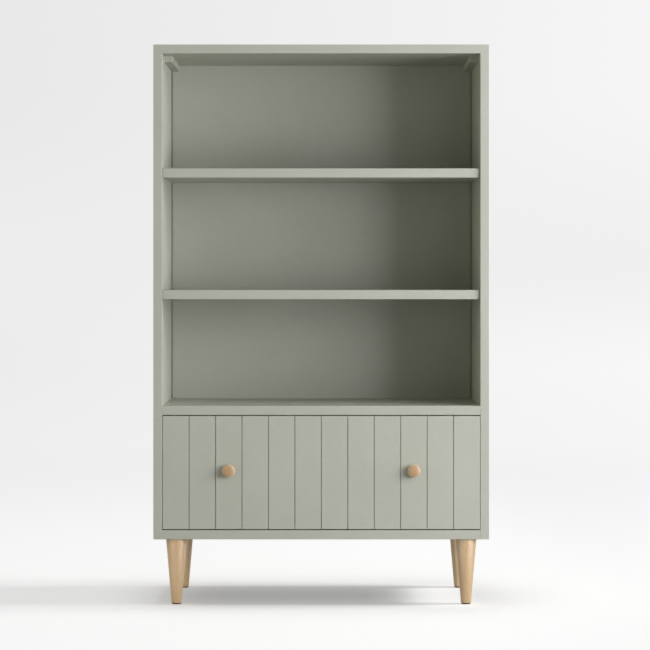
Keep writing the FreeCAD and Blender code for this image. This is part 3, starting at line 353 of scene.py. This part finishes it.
def make_legs():
    """Straight tapers with an eased foot, bored for the bolt above and for the pad below."""
    foot_radius, foot_ease = 14 * MM, 1.8 * MM
    shoulder_radius, top_radius, top_chamfer = 28.85 * MM, 28.6 * MM, 0.6 * MM
    bore, pad_depth, bolt_depth = 4.05 * MM, 12 * MM, 42 * MM
    legs = []
    for place in ("front_left", "front_right", "rear_left", "rear_right"):
        node = f"{place}_leg"
        low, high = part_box(node)
        centre = (low + high) / 2
        bottom, top = low.z, high.z
        mesh = lathe(f"turned_{node}", [
            (0, bottom + pad_depth, 0), (bore, bottom + pad_depth, 0), (bore, bottom, 0),
            (foot_radius, bottom, foot_ease), (shoulder_radius, top - top_chamfer, 0), (top_radius, top, 0),
            (bore, top, 0), (bore, top - bolt_depth, 0), (0, top - bolt_depth, 0)])
        mesh.transform(Matrix.Translation((centre.x, centre.y, 0)))
        legs.append(add_piece(f"turned_{node}", mesh, finishes["pale_beech"], "carcass", node))
    return legs


# A knob's radius, height and rounding in millimetres, from the screw's hole round the stem to the crown
KNOB_OUTLINE = [
    (0, 13, 0), (2.05, 13, 0), (2.05, 0, 0), (9, 0, 0.4), (8.2, 3.5, 3), (8.8, 6.4, 1),
    (17.5, 6.4, 3), (17.5, 19.6, 7), (7, 21.8, 12), (0, 22, 0),
]


def make_knobs():
    """Turned mushrooms: a waisted stem and a softly crowned face."""
    outline = [(radius * MM, height * MM, rounding * MM) for radius, height, rounding in KNOB_OUTLINE]
    upright_to_front = Matrix.Rotation(math.radians(90), 4, "X")
    knobs = []
    for side in ("left", "right"):
        node = f"{side}_knob"
        low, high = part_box(node)
        centre = (low + high) / 2
        mesh = lathe(f"turned_{node}", outline)
        mesh.transform(Matrix.Translation((centre.x, high.y, centre.z)) @ upright_to_front)
        knobs.append(add_piece(f"turned_{node}", mesh, knob_beech, "drawer", node))
    return knobs


def make_drawer_front():
    """One painted board with eleven grooves, every arris eased."""
    planks, steps = 12, 4
    half_groove, groove_depth, groove_ease = 1.1 * MM, 3 * MM, 0.5 * MM
    ease = 1.5 * MM
    low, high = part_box("drawer_front")
    pitch = (high.x - low.x) / planks
    bed = low.y + groove_depth
    outline = [(low.x, high.y, 0), (low.x, low.y, ease)]
    for number in range(1, planks):
        left = low.x + number * pitch - half_groove
        right = low.x + number * pitch + half_groove
        outline += [(left, low.y, groove_ease), (left, bed, groove_ease),
                    (right, bed, groove_ease), (right, low.y, groove_ease)]
    outline += [(high.x, low.y, ease), (high.x, high.y, 0)]
    points = soften(outline, steps)

    # The outline is stacked from the bottom to the top, and drawn back over each rounded long edge.
    turns = [math.radians(90) * step / steps for step in range(steps + 1)]
    levels = [(ease * (1 - math.cos(turn)), ease * (1 - math.sin(turn))) for turn in turns]
    rows = [(low.z + rise, back) for rise, back in levels]
    rows += [(high.z - rise, back) for rise, back in reversed(levels)]
    shape = bmesh.new()
    rings = []
    for z, back in rows:
        rings.append([shape.verts.new((point.x, min(point.y + back, high.y), z)) for point in points])
    for lower, upper in zip(rings, rings[1:]):
        for index in range(len(points)):
            ahead = (index + 1) % len(points)
            shape.faces.new([lower[index], lower[ahead], upper[ahead], upper[index]])
    shape.faces.new(rings[0])
    shape.faces.new(rings[-1])
    bmesh.ops.recalc_face_normals(shape, faces=shape.faces)
    mesh = to_mesh("grooved_front", shape)
    front = add_piece("grooved_front", mesh, finishes["sage_paint"], "drawer", "drawer_front")
    front.modifiers.new("flat_planks", "WEIGHTED_NORMAL").keep_sharp = True


legs = make_legs()
rear_legs = legs[2:]
knobs = make_knobs()
make_drawer_front()


# Floor and backdrop

STAGE_RADIUS = 14.0
BOUNCE_GREY = rgb(0.43, 0.43, 0.43)
WHITE = rgb(1, 1, 1)
# Soft pools of painted light on the floor near the bookcase's ends: their middle and half width along X, and
# their gain
PAINTED_FLOOR_LIGHT = ((0.335, 0.16, 0.25), (-0.56, 0.25, 0.07))


def stage_material(name, lit_near):
    """Pale studio white. The floor is lit near the bookcase and shades into the backdrop's tone far from it."""
    material = bpy.data.materials.new(name)
    tree = Tree(material)
    path = tree.add("ShaderNodeLightPath").outputs
    seen = tree.math("MAXIMUM", path["Is Camera Ray"],
                     tree.math("MAXIMUM", path["Is Glossy Ray"], path["Is Transmission Ray"]))
    place = tree.add("ShaderNodeSeparateXYZ", {0: tree.position((1, 1, 1))}).outputs

    # The backdrop glows with painted light that is paler to the right. Its tone from left to right: at the
    # floor, a metre up, and from 2.6 m up
    across = tree.line(place["X"], -3.0, 3.0, 0, 1)
    base_tone = tree.mix_at(across, rgb(0.838, 0.838, 0.838), rgb(0.935, 0.935, 0.935))
    low_tone = tree.mix_at(across, rgb(0.845, 0.845, 0.845), rgb(0.870, 0.870, 0.870))
    high_tone = tree.mix_at(across, rgb(0.805, 0.805, 0.805), rgb(0.930, 0.915, 0.920))
    tone = tree.mix_at(tree.ramp(place["Z"], 0.0, 1.0), base_tone, low_tone)
    tone = tree.mix_at(tree.ramp(place["Z"], 1.0, 2.6), tone, high_tone)
    shown = tree.add("ShaderNodeEmission", {"Color": tone}).outputs[0]
    if lit_near:
        # A faint glow keeps the shadows on the floor pale. It is painted light, a little weaker to the right,
        # and stronger in soft pools near the bookcase's ends.
        under = tree.ramp(tree.math("ABSOLUTE", place["Y"]), 0.27, 0.12)
        painted_light_pools = []
        for middle, half_width, gain in PAINTED_FLOOR_LIGHT:
            off = tree.math("ABSOLUTE", tree.math("SUBTRACT", place["X"], middle))
            painted_light_pools.append(tree.ramp(off, half_width, 0, 0, gain))
        patch = tree.math("MULTIPLY", tree.math("ADD", *painted_light_pools), under)
        level = tree.math("ADD", patch, tree.ramp(place["X"], 0.3, 1.0, 0.303, 0.24))
        lift = tree.add("ShaderNodeEmission", {"Color": WHITE, "Strength": level})
        bright = tree.add("ShaderNodeBsdfDiffuse", {"Color": WHITE})
        near = tree.add("ShaderNodeAddShader", {0: lift.outputs[0], 1: bright.outputs[0]}).outputs[0]
        distance = tree.add("ShaderNodeVectorMath", {0: tree.position((1, 1, 0))}, operation="LENGTH")
        far = tree.ramp(distance.outputs["Value"], 0.8, 6.0)
        shown = tree.add("ShaderNodeMixShader", {0: far, 1: near, 2: shown}).outputs[0]

    # Only the camera and clear reflections see that tone. Everything else gets the light of a plain grey.
    bounce = tree.add("ShaderNodeBsdfDiffuse", {"Color": BOUNCE_GREY}).outputs[0]
    shader = tree.add("ShaderNodeMixShader", {0: seen, 1: bounce, 2: shown})
    tree.finish(shader.outputs[0])
    return material


def add_stage(name, shape, material):
    """Puts a smooth shape in the scene that is no part of the bookcase."""
    mesh = bpy.data.meshes.new(name)
    shape.to_mesh(mesh)
    shape.free()
    stage = bpy.data.objects.new(name, mesh)
    bpy.context.scene.collection.objects.link(stage)
    mesh.materials.append(material)
    for polygon in mesh.polygons:
        polygon.use_smooth = True
    return stage


disc = bmesh.new()
bmesh.ops.create_circle(disc, cap_ends=True, segments=128, radius=STAGE_RADIUS)
floor = add_stage("floor", disc, stage_material("studio_floor", True))
dome = bmesh.new()
bmesh.ops.create_uvsphere(dome, u_segments=96, v_segments=48, radius=STAGE_RADIUS)
bmesh.ops.reverse_faces(dome, faces=dome.faces)
backdrop = add_stage("backdrop", dome, stage_material("studio_backdrop", False))
backdrop.visible_diffuse = False
backdrop.visible_shadow = False


# Light

PLAIN, COOL, WARM = (1, 1, 1), (0.975, 0.975, 1.0), (1.0, 0.97, 0.80)


def area_light(name, place, target, size, watts, colour=PLAIN):
    """A softbox of a width and height in metres, aimed at a target."""
    data = bpy.data.lights.new(name, "AREA")
    data.shape = "RECTANGLE"
    data.size, data.size_y = size
    data.energy = watts
    data.color = colour
    lamp = bpy.data.objects.new(name, data)
    bpy.context.scene.collection.objects.link(lamp)
    lamp.location = place
    lamp.rotation_euler = (Vector(target) - Vector(place)).to_track_quat("-Z", "Y").to_euler()
    return lamp


def link_lights(name, things, state, lamps):
    """Lets lamps light only the things, or everything but the things."""
    receivers = bpy.data.collections.new(name)
    for thing in things:
        receivers.objects.link(thing)
    for item in receivers.collection_objects:
        item.light_linking.link_state = state
    for lamp in lamps:
        lamp.light_linking.receiver_collection = receivers


# The floor is lit only by two softboxes of its own, so that it takes just their two shadows. The other lamps
# light the bookcase. Those that would make the legs or the rims of the knobs too pale leave them out, and the
# legs have two lamps of their own.
link_lights("not_the_floor", [floor], "EXCLUDE", [
    area_light("key_softbox", (2.72, -2.1, 1.05), (0, 0, 0.95), (2.3, 1.2), 70, COOL),
    area_light("key_low_softbox", (2.72, -2.1, 0.4), (0, 0, 0.6), (2.3, 1.2), 33, COOL),
    area_light("left_low_softbox", (-3.0, -1.5, 0.5), (0, 0, 0.6), (1.6, 1.2), 13, WARM),
    area_light("left_high_softbox", (-3.0, -1.5, 1.5), (0, 0, 0.9), (1.6, 1.2), 14, WARM),
    area_light("back_softbox", (1.6, 3.6, 1.5), (0, 0.2, 0.8), (2.4, 2.0), 60),
])
link_lights("not_the_floor_or_legs", [floor] + legs, "EXCLUDE", [
    area_light("key_high_softbox", (2.72, -2.1, 1.7), (0, 0, 1.0), (2.3, 1.2), 6, COOL),
    area_light("upper_softbox", (2.6, -2.2, 3.2), (0, 0, 0.8), (2.0, 1.6), 19, COOL),
    area_light("fore_softbox", (1.8, -3.2, 1.8), (0, 0, 1.0), (2.0, 1.2), 8, COOL),
    area_light("top_softbox", (0, 0.4, 3.6), (0, 0.1, 1.5), (1.8, 0.9), 20),
    area_light("left_rear_softbox", (-3.6, 0.95, 1.1), (-0.457, 0.1, 0.85), (1.3, 1.6), 16),
])
link_lights("not_the_floor_legs_or_knobs", [floor] + legs + knobs, "EXCLUDE", [
    area_light("flank_softbox", (3.15, -1.2, 1.9), (0, 0, 1.0), (1.0, 1.2), 36, COOL),
    area_light("rim_softbox", (3.4, -0.55, 1.1), (0, 0, 1.0), (0.5, 1.5), 10, COOL),
])
link_lights("only_the_legs", legs, "INCLUDE", [
    area_light("leg_softbox", (-2.1, -2.2, 0.35), (-0.35, -0.1, 0.1), (1.2, 0.8), 14),
])
link_lights("only_the_rear_legs", rear_legs, "INCLUDE", [
    area_light("rear_leg_softbox", (0, -2.8, 0.25), (0, 0.17, 0.1), (1.0, 0.4), 11),
])
link_lights("only_the_floor", [floor], "INCLUDE", [
    area_light("floor_side_softbox", (10.0, 0.01, 7.2), (0, 0.01, 0), (2.8, 3.2), 564),
    area_light("floor_top_softbox", (0, 0.01, 9.0), (0, 0.01, 0), (2.2, 2.2), 116),
])

# A pale sky that fills in from overhead and fades out towards the horizon
world = bpy.data.worlds.new("studio_fill")
bpy.context.scene.world = world
fill = Tree(world)
upward = fill.add("ShaderNodeSeparateXYZ", {0: fill.add("ShaderNodeTexCoord").outputs["Generated"]})
sky_level = fill.ramp(upward.outputs["Z"], 0.5, 0.75, 0.0, 0.50)
sky = fill.add("ShaderNodeBackground", {"Color": WHITE, "Strength": sky_level})
fill.add("ShaderNodeOutputWorld", {"Surface": sky.outputs[0]})


# Camera

# A level view through a long lens, from 6.2 m in front of the case
EYE = (0.0102, -6.389, 0.905)
camera = bpy.data.cameras.new("camera")
camera.sensor_width = 36.0
camera.lens = 126.19
camera.shift_y = -0.080
eye = bpy.data.objects.new("camera", camera)
bpy.context.scene.collection.objects.link(eye)
eye.location = EYE
eye.rotation_euler = (math.radians(90), 0, 0)
bpy.context.scene.camera = eye
bpy.context.scene.view_settings.view_transform = "Standard"
